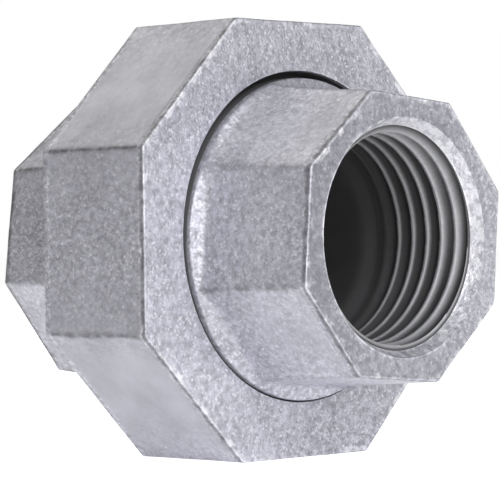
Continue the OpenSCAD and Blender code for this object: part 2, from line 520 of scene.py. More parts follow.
def make_casting(name, section, turn, wave, seed):
    """Mesh of a closed section, with the waves of the cast skin and a second material where it is cut."""
    stations, radii, cut = (section.grid(label) for label in ("station", "radius", "cut"))
    count, around = stations.shape
    angles = ANGLES[None, :] + turn
    points = np.stack([stations, radii * np.cos(angles), radii * np.sin(angles)], 2)
    index = np.arange(count * around).reshape(count, around)
    below, beside = np.roll(index, -1, 0), np.roll(index, -1, 1)
    corners = np.stack([index, beside, np.roll(below, -1, 1), below], 2).reshape(-1, 4)
    if signed_volume(points, corners) < 0:
        corners = corners[:, ::-1]
    mesh = bpy.data.meshes.new(name)
    mesh.from_pydata(points.reshape(-1, 3).tolist(), [], corners.tolist())
    bared = np.maximum(cut, np.roll(cut, -1, 0)).ravel() > 0.5
    mesh.polygons.foreach_set("material_index", bared.astype(np.int32))
    mesh.polygons.foreach_set("use_smooth", np.ones(len(mesh.polygons), bool))
    for label in ("edge", "line", "oil", "sleek", "side_shade"):
        attribute = mesh.attributes.new(label, "FLOAT", "POINT")
        attribute.data.foreach_set("value", section.grid(label).ravel().astype(np.float32))
    mesh.update()
    ripple_skin(mesh, cut.ravel() < 0.5, wave, seed)
    mesh.set_sharp_from_angle(angle=SHARP_ANGLE)
    casting = bpy.data.objects.new(name, mesh)
    bpy.context.scene.collection.objects.link(casting)
    casting.modifiers.new("Even shading", "WEIGHTED_NORMAL").keep_sharp = True
    return casting


def signed_volume(points, corners):
    """Six times the volume inside a closed quad mesh, negative if its faces point inwards."""
    p = points.reshape(-1, 3)
    a, b, c, d = (p[corners[:, i]] for i in range(4))
    return float(np.sum(a * np.cross(b, c)) + np.sum(a * np.cross(c, d)))


# Length of the broad and of the fine waves in the cast skin, and height of the fine ones against the broad
BROAD_WAVE = 0.005
FINE_WAVE = 0.0022
FINE_SHARE = 0.35


def ripple_skin(mesh, cast, wave, seed):
    """Moves the cast skin inwards a little, in broad waves with finer ones on them."""
    places = np.empty(len(mesh.vertices) * 3)
    normals = np.empty(len(mesh.vertices) * 3)
    mesh.vertices.foreach_get("co", places)
    mesh.vertex_normals.foreach_get("vector", normals)
    places, normals = places.reshape(-1, 3), normals.reshape(-1, 3)
    shift = Vector((seed, 0.0, 0.0))
    for i in np.flatnonzero(cast):
        place = Vector(places[i])
        lift = noise.noise(place / BROAD_WAVE + shift) + FINE_SHARE * noise.noise(place / FINE_WAVE + shift)
        places[i] -= normals[i] * wave * (1 + lift) / 2
    mesh.vertices.foreach_set("co", places.ravel())
    mesh.update()


# Rounding between a mouth's face and its chamfer: where the flat face stops, and the width and depth of
# the row between
MOUTH_GAP = 4 * TENTH
MOUTH_EASE = 0.00015
MOUTH_DIP = 0.00002
# Number of rows on the coated chamfer, and of steps along the cone
CHAMFER_ROWS = 6
CONE_STEPS = 4
# Fall of the radius for each unit of depth where the cut starts at the coat's edge
CUT_SLOPE = 1.6
# The marks in a pipe socket are ramps, each given by places along it and then by the marks there.
# The coated chamfer takes a painted highlight, brighter inwards, less below and less on the -Y side
CHAMFER_HIGHLIGHT_INWARDS = (0.75, 1.0)
CHAMFER_HIGHLIGHT_BY_HEIGHT = (-0.9, 0.1), (0.7, 1.0)
CHAMFER_HIGHLIGHT_BY_SIDE = (-1.0, -0.3), (0.45, 1.0)
# Painted shade lies in the grooves and on the flanks that face away from the mouth, more below and further
# in
SHADE_BY_GROOVE = (0.04, 0.2, 0.45, 0.85), (0.0, 0.45, 0.7, 1.0)
SHADE_BY_HEIGHT = (-0.8, 0.8), (1.05, 0.75)
SHADE_BY_DEPTH = (0.0026, 0.0055), (0.8, 1.3)
SHADED_PHASE = 0.06
# Painted shade darkens the first turn a little and the last ones fully, and the cut at the coat's edge
DEPTH_SHADE = (0.0014, 0.0032, 0.0095, 0.0115), (0.3, 0.0, 0.33, 1.0)
COAT_EDGE_SHADE = (0.00005, 0.0002), (1.0, 0.3)


def pipe_socket(mouth, inner_face, sizes):
    """Bore of one end from its mouth to its inner face: chamfer, pipe thread, run-out and waterway.

    The thread's worn crests lie at the socket's radius and its roots at the full thread's radius.
    """
    inward = 1 if inner_face > mouth else -1
    mouth_radius = SOCKET_RADIUS + sizes.mouth_chamfer
    run_out = mouth + inward * (sizes.mouth_chamfer + SOCKET_WALL)
    cone_end = run_out + inward * sizes.socket_cone
    slant = np.linspace(0, sizes.coated_chamfer, CHAMFER_ROWS)
    coated_radii = mouth_radius - slant * sizes.chamfer_slope
    # Painted highlight on the coated chamfer
    brightened = np.linspace(*CHAMFER_HIGHLIGHT_INWARDS, CHAMFER_ROWS)[:, None] * np.interp(UP, *CHAMFER_HIGHLIGHT_BY_HEIGHT)
    cone = np.linspace(0, 1, CONE_STEPS + 1)[1:]
    socket = Section()
    # The mouth's painted shade reaches the row next to the chamfer
    socket.rows(
        [mouth + inward * MOUTH_DIP], mouth_radius + MOUTH_EASE, edge=0.15, **mouth_shade_marks(sizes.mouth_face_shade))
    socket.rows(
        mouth + inward * slant, coated_radii, edge=brightened * np.interp(ACROSS, *CHAMFER_HIGHLIGHT_BY_SIDE), oil=1.0)
    add_pipe_thread(socket, mouth, inward, run_out, coated_radii[-1], sizes)
    # The cone and the waterway take full painted shade, as deep in the bore
    socket.rows(
        run_out + (cone_end - run_out) * cone,
        SOCKET_RADIUS + (sizes.waterway_radius - SOCKET_RADIUS) * cone, cut=1.0, oil=1.0)
    waterway = along(cone_end, inner_face - inward * TENTH, WALL_STEP)[1:]
    socket.rows(waterway, sizes.waterway_radius, cut=1.0, oil=1.0)
    return socket


def add_pipe_thread(socket, mouth, inward, run_out, coat_radius, sizes):
    """Adds the pipe thread's rows to a socket, from the edge of the zinc coat to the end of the run-out."""
    depth = THREAD_DEPTH * sizes.pipe_pitch
    start = mouth + inward * sizes.coated_chamfer
    stations = along(start, run_out, sizes.pipe_pitch / PIPE_THREAD_ROWS)[1:]
    sunk = np.abs(stations - mouth)[:, None]
    past_coat = sunk - sizes.coated_chamfer
    phase = thread_phase(stations, sizes.pipe_pitch, sizes.thread_start)
    groove = (1 - thread_rise(phase)) * fade(stations, run_out - inward * sizes.run_out, run_out)
    thread = SOCKET_RADIUS + depth / 2 * groove
    step = coat_radius - CUT_SLOPE * past_coat
    # Painted shade in the grooves and on the flanks that face away from the mouth, more below and further
    # in
    groove_shade = np.where(inward * phase > SHADED_PHASE, 1.0, np.interp(groove, *SHADE_BY_GROOVE))
    shade_weight = np.interp(UP, *SHADE_BY_HEIGHT)[None, :] * np.interp(sunk, *SHADE_BY_DEPTH)
    oil = np.clip(groove_shade * shade_weight + np.interp(sunk, *DEPTH_SHADE), 0, 1)
    socket.rows(
        stations, np.maximum(thread, step), cut=1.0,
        oil=np.where(step > thread, np.interp(past_coat, *COAT_EDGE_SHADE), oil))


def mouth_face(mouth, inward, half_width, sizes, seed, **wear):
    """Face round a mouth and its cast edge, from the chamfer out to the flats."""
    inner = SOCKET_RADIUS + sizes.mouth_chamfer + MOUTH_GAP
    rim = cast_rim(mouth, inward, half_width, sizes, seed, side_shade=sizes.mouth_face_shade, **wear)
    outer = rim.grid("radius")[0]
    section = Section()
    # Painted shade on the mouth's face, darkest on its -Y side
    section.face(mouth + inward * sizes.edge_bead, inner, outer, steps=5, **mouth_shade_marks(sizes.mouth_face_shade))
    section.add(rim)
    return section


def drafted_flats(stations, mouth, half_width, sizes):
    """Radii of the flats of one end, which widen from its mouth by the draft."""
    halves = half_width + np.abs(stations - mouth) * math.tan(sizes.draft)
    return np.stack([octagon(half, sizes.corner_round) for half in halves])


# Finishes

def add_socket(group, name, direction, kind, value=None):
    """Adds a named input or output to a node group."""
    socket = group.interface.new_socket(name=name, in_out=direction, socket_type=kind)
    if value is not None:
        socket.default_value = value


def add_node(tree, kind, links=(), **settings):
    """Node of a tree with its settings, and with links from other sockets into its inputs."""
    made = tree.nodes.new(kind)
    for name, value in settings.items():
        setattr(made, name, value)
    for target, source in links:
        if isinstance(source, bpy.types.NodeSocket):
            tree.links.new(source, made.inputs[target])
        else:
            made.inputs[target].default_value = source
    return made


def math_node(tree, operation, *values, clamp=False):
    """Output of a Math node on values or sockets."""
    made = add_node(tree, "ShaderNodeMath", list(enumerate(values)), operation=operation)
    made.use_clamp = clamp
    return made.outputs[0]


def weighted_sum(tree, first, first_weight, second, second_weight):
    """Output of the sum of two sockets, each times its weight."""
    return math_node(tree, "ADD", math_node(tree, "MULTIPLY", first, first_weight),
                     math_node(tree, "MULTIPLY", second, second_weight))


def remap(tree, value, low, high, to_low=0.0, to_high=1.0):
    """Output of a clamped Map Range node."""
    links = [("Value", value), ("From Min", low), ("From Max", high),
             ("To Min", to_low), ("To Max", to_high)]
    return add_node(tree, "ShaderNodeMapRange", links).outputs["Result"]


def mix_colour(tree, factor, first, second):
    """Output of a colour mix; first and second are sockets or colours."""
    made = add_node(tree, "ShaderNodeMix", data_type="RGBA")
    for index, value in ((0, factor), (6, first), (7, second)):
        if isinstance(value, bpy.types.NodeSocket):
            tree.links.new(value, made.inputs[index])
        else:
            made.inputs[index].default_value = value if index == 0 else (*value, 1.0)
    return made.outputs[2]


def noise_node(tree, vector, scale, detail, roughness=0.55):
    """Output of a noise texture; scale is a value or a socket."""
    links = [("Vector", vector), ("Scale", scale), ("Detail", detail), ("Roughness", roughness)]
    return add_node(tree, "ShaderNodeTexNoise", links).outputs["Fac"]


def mesh_mark(tree, name):
    """Output of a mark that the mesh's points carry."""
    return add_node(tree, "ShaderNodeAttribute", attribute_name=name).outputs["Fac"]


def new_group(name, inputs, outputs):
    """Empty shader node group with its named sockets."""
    group = bpy.data.node_groups.new(name, "ShaderNodeTree")
    for label, kind, value in inputs:
        add_socket(group, label, "INPUT", kind, value)
    for label, kind in outputs:
        add_socket(group, label, "OUTPUT", kind)
    return group, group.nodes.new("NodeGroupInput").outputs, group.nodes.new("NodeGroupOutput").inputs


def surface_grain():
    """Group: fine grain of a surface, as a mask, bright flecks and a height."""
    group, given, result = new_group(
        "Surface Grain",
        [("Grain Size", "NodeSocketFloat", 0.0002)],
        [("Grain", "NodeSocketFloat"), ("Fleck", "NodeSocketFloat"), ("Height", "NodeSocketFloat")])
    place = group.nodes.new("ShaderNodeTexCoord").outputs["Object"]
    scale = math_node(group, "DIVIDE", 1.0, given["Grain Size"])
    coarse_scale = math_node(group, "MULTIPLY", scale, 0.38)
    fine = noise_node(group, place, scale, detail=2.0, roughness=0.6)
    coarse = noise_node(group, place, coarse_scale, detail=2.0, roughness=0.5)
    cells = add_node(group, "ShaderNodeTexVoronoi", [("Vector", place), ("Scale", scale)])
    chance = add_node(group, "ShaderNodeSeparateColor", [("Color", cells.outputs["Color"])]).outputs[0]
    grain = weighted_sum(group, fine, 0.35, coarse, 0.65)
    height = math_node(group, "ADD", math_node(group, "MULTIPLY", fine, 0.45), coarse)
    group.links.new(remap(group, grain, low=0.36, high=0.64), result["Grain"])
    group.links.new(remap(group, chance, low=0.80, high=0.97), result["Fleck"])
    group.links.new(height, result["Height"])
    return group


def patchy_tone():
    """Group: broad dull and bright patches of a surface, as a mask."""
    group, given, result = new_group(
        "Patchy Tone",
        [("Patch Size", "NodeSocketFloat", 0.004)],
        [("Patch", "NodeSocketFloat")])
    place = group.nodes.new("ShaderNodeTexCoord").outputs["Object"]
    scale = math_node(group, "DIVIDE", 1.0, given["Patch Size"])
    broad = noise_node(group, place, scale, detail=4.0, roughness=0.6)
    group.links.new(remap(group, broad, low=0.33, high=0.67), result["Patch"])
    return group


# How far a mark of 1 brings the worn edges and the painted highlight through, and the greatest strength of
# those and of the lines of painted shade
RUB_GAIN = 1.6
RUB_STRENGTH = 0.85
LINE_STRENGTH = 0.8


def edge_marks():
    """Group: worn edges with the painted highlight on the chamfers, and lines of painted shade, from the
    marks on the mesh broken up by noise, as masks.
    """
    group, given, result = new_group(
        "Edge Marks",
        [("Wear Size", "NodeSocketFloat", 0.001)],
        [("Rub And Highlight", "NodeSocketFloat"), ("Line", "NodeSocketFloat")])
    place = group.nodes.new("ShaderNodeTexCoord").outputs["Object"]
    scale = math_node(group, "DIVIDE", 1.0, given["Wear Size"])
    broken = noise_node(group, place, scale, detail=3.0)
    worn = math_node(group, "MULTIPLY_ADD", mesh_mark(group, "edge"), RUB_GAIN, -1.0)
    brightened = math_node(group, "ADD", worn, remap(group, broken, low=0.44, high=0.58), clamp=True)
    patches = remap(group, broken, low=0.68, high=0.40, to_low=0.35, to_high=1.0)
    darkened = math_node(group, "MULTIPLY", mesh_mark(group, "line"), patches)
    group.links.new(math_node(group, "MULTIPLY", brightened, RUB_STRENGTH), result["Rub And Highlight"])
    group.links.new(math_node(group, "MULTIPLY", darkened, LINE_STRENGTH, clamp=True), result["Line"])
    return group


def shared_group(name, build):
    """Node group of that name, built the first time it is asked for."""
    return bpy.data.node_groups.get(name) or build()


def place_group(tree, name, build, **values):
    """Node that holds a shared group, with this material's own values; gives its outputs."""
    made = add_node(tree, "ShaderNodeGroup", node_tree=shared_group(name, build))
    for label, value in values.items():
        made.inputs[label.replace("_", " ")].default_value = value
    return made.outputs


def new_material(name):
    """Material with only a Principled shader; gives the material, its tree and the shader's node."""
    material = bpy.data.materials.new(name)
    material.use_nodes = True
    tree = material.node_tree
    tree.nodes.clear()
    shader = tree.nodes.new("ShaderNodeBsdfPrincipled")
    output = tree.nodes.new("ShaderNodeOutputMaterial")
    tree.links.new(shader.outputs["BSDF"], output.inputs["Surface"])
    return material, tree, shader


def add_bump(tree, shader, height, strength, distance):
    """Bump from a height into the shader's normal."""
    links = [("Height", height), ("Strength", strength), ("Distance", distance)]
    bump = add_node(tree, "ShaderNodeBump", links)
    tree.links.new(bump.outputs["Normal"], shader.inputs["Normal"])


# How much of its grain the zinc loses where it is sleek and where it takes painted side shade, how far that
# painted shade darkens it, and the strength of its flecks
SLEEK_LOSS = 0.85
SIDE_SHADE_GRAIN_LOSS = 0.6
SIDE_SHADE_DARKENING = 0.45
FLECK_STRENGTH = 0.52


def galvanised_casting(finish):
    """Hot-dip zinc over sand-cast iron: grey, grainy and flecked, with worn edges, painted shade in lines
    along edges and corners and on the side away from the light, and a painted highlight on the chamfers.
    """
    material, tree, shader = new_material("galvanised_casting")
    grain = place_group(tree, "Surface Grain", surface_grain, Grain_Size=finish.grain)
    tone = place_group(tree, "Patchy Tone", patchy_tone, Patch_Size=finish.patch)
    wear_and_light = place_group(tree, "Edge Marks", edge_marks, Wear_Size=0.0009)
    side_shade = mesh_mark(tree, "side_shade")
    rough = math_node(tree, "MULTIPLY_ADD", side_shade, -SIDE_SHADE_GRAIN_LOSS, 1.0)
    rough = math_node(tree, "MULTIPLY_ADD", mesh_mark(tree, "sleek"), -SLEEK_LOSS, rough)
    uneven = math_node(tree, "MULTIPLY_ADD", math_node(tree, "SUBTRACT", grain["Grain"], 0.5), rough, 0.5)
    mixed = weighted_sum(tree, uneven, 0.75, tone["Patch"], 0.25)
    # Painted shade darkens the zinc on the side away from the light
    mixed = math_node(tree, "MULTIPLY_ADD", side_shade, -SIDE_SHADE_DARKENING, mixed, clamp=True)
    zinc = mix_colour(tree, mixed, finish.zinc_dark, finish.zinc_light)
    fleck = math_node(tree, "MULTIPLY", math_node(tree, "MULTIPLY", grain["Fleck"], rough), FLECK_STRENGTH)
    # Flecks, worn edges and the painted highlight on the chamfers
    bright = math_node(tree, "MAXIMUM", fleck, wear_and_light["Rub And Highlight"])
    flecked = mix_colour(tree, bright, zinc, finish.zinc_fleck)
    # Lines of painted shade over the zinc
    tree.links.new(mix_colour(tree, wear_and_light["Line"], flecked, finish.shade_line), shader.inputs["Base Color"])
    tree.links.new(remap(tree, mixed, 0.0, 1.0, to_low=0.60, to_high=0.40), shader.inputs["Roughness"])
    shader.inputs["Metallic"].default_value = 0.6
    height = math_node(tree, "MULTIPLY", grain["Height"], rough)
    add_bump(tree, shader, height, strength=1.0, distance=0.00011)
    return material


# How far the cut iron's tone varies with the grain and with the patches, and how much of that is lost
# where the painted shade is deep
CUT_GRAIN = 0.10
CUT_PATCH = 0.12
DEEP_SHADE_LOSS = 0.85


def cut_iron(finish):
    """Iron bared by the thread cutter: bright crests, oiled, with painted shade in the roots, the grooves,
    the gaps and down the bore.
    """
    material, tree, shader = new_material("cut_iron")
    grain = place_group(tree, "Surface Grain", surface_grain, Grain_Size=0.00012)
    tone = place_group(tree, "Patchy Tone", patchy_tone, Patch_Size=0.0025)
    oil = mesh_mark(tree, "oil")
    uneven = weighted_sum(tree, grain["Grain"], CUT_GRAIN, tone["Patch"], CUT_PATCH)
    centred = math_node(tree, "SUBTRACT", uneven, (CUT_GRAIN + CUT_PATCH) / 2)
    # Painted shade darkens the cut iron and evens out its tone
    unshaded = math_node(tree, "MULTIPLY_ADD", oil, -DEEP_SHADE_LOSS, 1.0)
    oily = math_node(tree, "MULTIPLY_ADD", centred, unshaded, oil, clamp=True)
    metal = mix_colour(tree, oily, finish.cut_light, finish.cut_dark)
    tree.links.new(metal, shader.inputs["Base Color"])
    tree.links.new(remap(tree, oily, 0.0, 1.0, to_low=0.45, to_high=0.85), shader.inputs["Roughness"])
    shader.inputs["Metallic"].default_value = 0.7
    add_bump(tree, shader, grain["Height"], strength=0.25, distance=0.00003)
    return material


def sheet_rubber(finish):
    """Black sheet rubber with a chalky bloom."""
    material, tree, shader = new_material("sheet_rubber")
    grain = place_group(tree, "Surface Grain", surface_grain, Grain_Size=0.0003)
    tone = place_group(tree, "Patchy Tone", patchy_tone, Patch_Size=0.003)
    dusty = math_node(tree, "MULTIPLY", grain["Grain"], tone["Patch"])
    tree.links.new(mix_colour(tree, dusty, finish.rubber, finish.rubber_dust), shader.inputs["Base Color"])
    tree.links.new(remap(tree, dusty, 0.0, 1.0, to_low=0.55, to_high=0.8), shader.inputs["Roughness"])
    add_bump(tree, shader, grain["Height"], strength=0.3, distance=0.00005)
    return material


def finish_named(name, build):
    """Material of that name, made the first time it is asked for."""
    return bpy.data.materials.get(name) or build(bpy.context.scene.union_finish)


def dress_casting(casting, body, node):
    """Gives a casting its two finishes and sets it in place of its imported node."""
    casting.data.materials.append(finish_named("galvanised_casting", galvanised_casting))
    casting.data.materials.append(finish_named("cut_iron", cut_iron))
    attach(casting, body)
    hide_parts(node)


# Pieces

# Width of the rounding at the edge of the lip's hole, and depth from the front at which its cut part ends
LIP_EDGE = 3 * TENTH
LIP_CUT = 6 * TENTH
# Reach of the lead-in of the nut's thread past its roots
NUT_LEAD = 3 * TENTH
# How much of the nut's front edge is rubbed: everywhere, and besides at the slanting flats
NUT_WORN = 0.35
NUT_WORN_ASLANT = 0.5


class PIPE_UNION_OT_nut(bpy.types.Operator):
    """Octagonal nut: cast outside, lip, undercut and screwed bore"""

    bl_idname = "pipe_union.nut"
    bl_label = "Union nut"

    def execute(self, context):
        sizes = context.scene.union_sizes
        lip = (sizes.lip_radius + sizes.lip_offset * UP)[None, :]
        root = HEAD_HIGH.y + UNION_DEPTH / 2 + sizes.thread_play
        section = Section()
        self.add_outside(section, sizes, lip, root)
        self.add_bore(section, sizes, lip, root)
        casting = make_casting("union_nut_casting", section, turn=0.0, wave=sizes.cast_wave, seed=11.0)
        dress_casting(casting, "nut", "union_nut")
        return {"FINISHED"}

    def add_outside(self, section, sizes, lip, root):
        """Edge of the lip's hole, front face, walls and back face."""
        front, back = NUT_HIGH.x, NUT_LOW.x
        half = (NUT_HIGH.y - NUT_LOW.y) / 2
        worn = NUT_WORN + NUT_WORN_ASLANT * ASLANT[0]
        front_rim = cast_rim(front, -1, half, sizes, seed=3.0, worn=worn)
        back_rim = cast_rim(back, 1, half, sizes, seed=17.0, shade=0.3).turned_back()
        walls = octagon(half, sizes.corner_round)
        stations = along(front - RIM_REACH, back + RIM_REACH, WALL_STEP)
        # Lines of painted shade along the nut's corners
        lines = corner_shade_line(stations, walls, seed=194.37)
        # Painted shade in the gap at the edge of the lip's hole
        section.rows([front - LIP_EDGE], lip, line=1.0)
        section.rows([front - TENTH], lip + sizes.edge_bead, edge=0.4)
        section.face(front - sizes.edge_bead, lip[0] + LIP_EDGE, front_rim.grid("radius")[0], steps=10)
        section.add(front_rim)
        # Painted shade on the nut's side away from the light, beside the lines of painted shade at the
        # corners
        section.rows(stations, walls[None, :], line=lines, sleek=ASLANT, side_shade=SHADED_SIDE)
        section.add(back_rim)
        section.face(back + sizes.edge_bead, back_rim.grid("radius")[-1], root + NUT_LEAD, steps=3)

    def add_bore(self, section, sizes, lip, root):
        """Thread, undercut and the inside of the lip."""
        front, back = NUT_HIGH.x, NUT_LOW.x
        lip_inside = front - sizes.lip_thick
        thread_end = lip_inside - sizes.undercut
        stations = along(back, thread_end, UNION_PITCH / UNION_THREAD_ROWS)
        rise = thread_rise(thread_phase(stations, UNION_PITCH))
        entry = (root + NUT_LEAD - (stations - back))[:, None]
        thread = np.maximum(root - UNION_DEPTH * (1 - rise), entry)
        # Painted shade in the nut thread's roots and behind the thread
        section.rows(stations, thread, cut=1.0, oil=0.7 * rise)
        section.rows([thread_end, lip_inside - 2 * TENTH], root, cut=1.0, oil=0.5)
        section.face(lip_inside, root, lip[0] + TENTH, steps=3, cut=1.0)
        # Painted shade inside the lip's hole
        hole = np.linspace(lip_inside + TENTH, front - LIP_CUT, HIDDEN_ROWS)
        section.rows(hole, lip, cut=1.0, oil=0.9)


# Length of the close rows above the slope of the tail piece's neck and below it
CLOSE_ABOVE = 8 * TENTH
CLOSE_BELOW = 6 * TENTH
# Fillet between the neck and the flats, the width that it gains where zinc pooled on one flat, and the
# angle and half width of that pool, in radians
NECK_FILLET = 9 * TENTH
POOLED_FILLET = 22 * TENTH
POOL_ANGLE = 0.75 * math.pi
POOL_HALF_WIDTH = 0.48
# Rounding of the neck's edge, and the height above the slope at which the flats look clear of it
NECK_EDGE = 2 * TENTH
FLATS_CLEAR = 3 * TENTH
# The flats lose less of their grain near the neck
SLEEK_TO_MOUTH = (0.2, 1.0)
# Ramps round the neck: depth of the zinc in the gap by height, deeper below, which paints the lit bottom of
# the gap light, and the painted shade in the gap past it by side, lighter on the -Y side
ZINC_BY_HEIGHT = (-0.7, 0.2), (0.0005, 0.00015)
GAP_SHADE_BY_SIDE = (-1.0, -0.5), (0.75, 0.95)
GAP_SHADE_EDGE = 2 * TENTH
COLLAR_BEVEL = 4 * TENTH
# How much of the tail piece's edge is rubbed: everywhere, and besides at the slanting flats
TAIL_WORN = 0.15
TAIL_WORN_ASLANT = 0.35


class PIPE_UNION_OT_tail_piece(bpy.types.Operator):
    """Swivelling end: drafted octagon, neck, collar, seat and pipe socket"""

    bl_idname = "pipe_union.tail_piece"
    bl_label = "Tail piece"

    def execute(self, context):
        sizes = context.scene.union_sizes
        mouth, seat = TAIL_HIGH.x, TAIL_LOW.x
        neck_front = NUT_HIGH.x + sizes.neck_proud
        half = sizes.tail_flats / 2
        worn = TAIL_WORN + TAIL_WORN_ASLANT * ASLANT[0]
        # Painted shade in the gap between the neck and the nut, lighter on the -Y side
        gap_shade = np.interp(ACROSS, *GAP_SHADE_BY_SIDE)[None, :]
        section = Section()
        section.add(mouth_face(mouth, -1, half, sizes, seed=29.0, worn=worn))
        self.add_flats(section, sizes, mouth, neck_front, gap_shade)
        self.add_collar(section, sizes, seat, neck_front, gap_shade)
        section.add(pipe_socket(mouth, seat, sizes).turned_back())
        casting = make_casting(
            "tail_piece_casting", section, turn=sizes.tail_turn, wave=sizes.cast_wave, seed=23.0)
        dress_casting(casting, "tail", "tail_piece")
        return {"FINISHED"}

    def add_flats(self, section, sizes, mouth, neck_front, gap_shade):
        """Drafted flats and the fillet between them and the neck."""
        half = sizes.tail_flats / 2
        slope_end = neck_front + sizes.neck_slope
        stations = np.concatenate([
            along(mouth - RIM_REACH, slope_end + CLOSE_ABOVE, FLATS_STEP),
            along(slope_end + CLOSE_ABOVE, neck_front - CLOSE_BELOW, FILLET_STEP)[1:]])
        flats = drafted_flats(stations, mouth, half, sizes)
        lean = (sizes.neck_radius - half) / sizes.neck_slope
        slope = (sizes.neck_radius - lean * (stations - neck_front))[:, None]
        pooled = np.exp(-((ANGLES - POOL_ANGLE) / POOL_HALF_WIDTH) ** 4)
        filleted = soft_max(flats, slope, NECK_FILLET + POOLED_FILLET * pooled)
        outside = soft_min(filleted, sizes.neck_radius, NECK_EDGE)
        clear = np.clip((flats - slope) / FLATS_CLEAR, 0, 1)
        smooth = np.interp(stations, (slope_end, mouth), SLEEK_TO_MOUTH)[:, None]
        past_zinc = (neck_front - stations)[:, None] - np.interp(UP, *ZINC_BY_HEIGHT)
        bared = np.clip(past_zinc / GAP_SHADE_EDGE, 0, 1)
        # Lines of painted shade along the corners, and painted shade in the gap round the neck past the
        # zinc
        section.rows(
            stations, outside, cut=np.floor(bared), line=corner_shade_line(stations, flats, seed=156.37) * clear,
            oil=gap_shade * bared, sleek=0.8 * ASLANT * clear * smooth)

    def add_collar(self, section, sizes, seat, neck_front, gap_shade):
        """Neck inside the nut, collar and seat."""
        collar, collar_front = TAIL_HIGH.y, seat + sizes.collar_thick
        neck = np.linspace(neck_front - CLOSE_BELOW - TENTH, collar_front, HIDDEN_ROWS)
        wall = np.linspace(collar_front - 2 * TENTH, seat + COLLAR_BEVEL, HIDDEN_ROWS)
        # Painted shade on the neck inside the nut and on the collar's face
        section.rows(neck, sizes.neck_radius, cut=1.0, oil=gap_shade)
        section.face(
            collar_front, sizes.neck_radius + TENTH, collar - 2 * TENTH, steps=3, cut=1.0, oil=1.0)
        section.rows(wall, collar, cut=1.0)
        section.face(seat, collar - COLLAR_BEVEL, sizes.waterway_radius + TENTH, steps=8, cut=1.0)


# Lengths at the back of the spigot over which its grooves run out and its crests fall to the flare
GROOVE_RUN_OUT = 12 * TENTH
CREST_FALL = 9 * TENTH
# Length of the close rows past the flare, and the fillet between the flare and the flats
CLOSE_PAST_FLARE = 12 * TENTH
FLARE_FILLET = 5 * TENTH


class PIPE_UNION_OT_head_piece(bpy.types.Operator):
    """Fixed end: drafted octagon, flare, screwed spigot, gasket recess and pipe socket"""

    bl_idname = "pipe_union.head_piece"
    bl_label = "Head piece"

    def execute(self, context):
        sizes = context.scene.union_sizes
        mouth, spigot_front = HEAD_LOW.x, HEAD_HIGH.x
        seat = spigot_front - sizes.recess_depth
        spigot_back = spigot_front - sizes.spigot_length
        section = Section()
        section.add(pipe_socket(mouth, seat, sizes))
        self.add_spigot(section, sizes, seat, spigot_front, spigot_back)
        self.add_flats(section, sizes, spigot_back, mouth)
        section.add(mouth_face(mouth, 1, sizes.head_flats / 2, sizes, seed=43.0).turned_back())
        casting = make_casting(
            "head_piece_casting", section, turn=sizes.head_turn, wave=sizes.cast_wave, seed=37.0)
        dress_casting(casting, "head", "head_piece")
        return {"FINISHED"}

    def add_spigot(self, section, sizes, seat, front, back):
        """Gasket's recess, rim and thread of the spigot."""
        middle = HEAD_HIGH.y
        recess = middle - sizes.recess_rim
        crest = middle + UNION_DEPTH / 2
        entry = middle - UNION_DEPTH / 2 - TENTH
        section.face(seat, sizes.waterway_radius + TENTH, recess, steps=8, cut=1.0)
        section.rows([seat + 2 * TENTH, front - TENTH], recess, cut=1.0)
        section.face(front, recess + TENTH, entry, steps=3, cut=1.0)
        stations = along(front, back, UNION_PITCH / UNION_THREAD_ROWS)
        groove = 1 - thread_rise(thread_phase(stations, UNION_PITCH))
        groove *= fade(stations, back + GROOVE_RUN_OUT, back)
        tops = middle + (crest - middle) * fade(stations, back + CREST_FALL, back)
        lead = entry + (front - stations)[:, None]
        # Painted shade in the spigot thread's grooves
        section.rows(stations, np.minimum(tops - UNION_DEPTH * groove, lead), cut=1.0, oil=0.7 * groove)

    def add_flats(self, section, sizes, spigot_back, mouth):
        """Flare from the spigot, and the drafted flats."""
        middle, half = HEAD_HIGH.y, sizes.head_flats / 2
        flare_back = spigot_back - sizes.flare_length
        stations = np.concatenate([
            along(spigot_back - TENTH, flare_back - CLOSE_PAST_FLARE, 2 * FILLET_STEP),
            along(flare_back - CLOSE_PAST_FLARE, mouth + RIM_REACH, FLATS_STEP)[1:]])
        flats = drafted_flats(stations, mouth, half, sizes)
        lean = (middle - half) / sizes.flare_length
        flare = (middle + lean * (stations - spigot_back))[:, None]
        clear = np.clip((flats - flare) / FLARE_FILLET, 0, 1)
        # Lines of painted shade along the corners
        section.rows(
            stations, soft_max(flats, flare, FLARE_FILLET),
            line=corner_shade_line(stations, flats, seed=178.37) * clear, sleek=0.6 * ASLANT * clear)


class PIPE_UNION_OT_gasket(bpy.types.Operator):
    """Flat rubber ring between the two seats"""

    bl_idname = "pipe_union.gasket"
    bl_label = "Gasket"

    def execute(self, context):
        sizes = context.scene.union_sizes
        back, front, outer = GASKET_LOW.x, GASKET_HIGH.x, GASKET_HIGH.y
        inner = sizes.waterway_radius + sizes.gasket_setback
        edge = 2 * TENTH
        wall = np.linspace(front - edge, back + edge, HIDDEN_ROWS)[1:-1]
        section = Section()
        section.face(front, inner + edge, outer - edge, steps=8)
        section.quarter_round((front, outer - edge), (front - edge, outer), face_first=True)
        section.rows(wall, outer)
        section.quarter_round((back + edge, outer), (back, outer - edge), face_first=False)
        section.face(back, outer - edge, inner + edge, steps=8)
        section.quarter_round((back, inner + edge), (back + edge, inner), face_first=True)
        section.rows(wall[::-1], inner)
        section.quarter_round((front - edge, inner), (front, inner + edge), face_first=False)
        ring = make_casting("gasket_ring", section, turn=0.0, wave=sizes.cast_wave / 2, seed=41.0)
        ring.data.materials.append(finish_named("sheet_rubber", sheet_rubber))
        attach(ring, "gasket")
        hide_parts("gasket")
        return {"FINISHED"}


# Stage

WHITE = (1.0, 1.0, 1.0, 1.0)
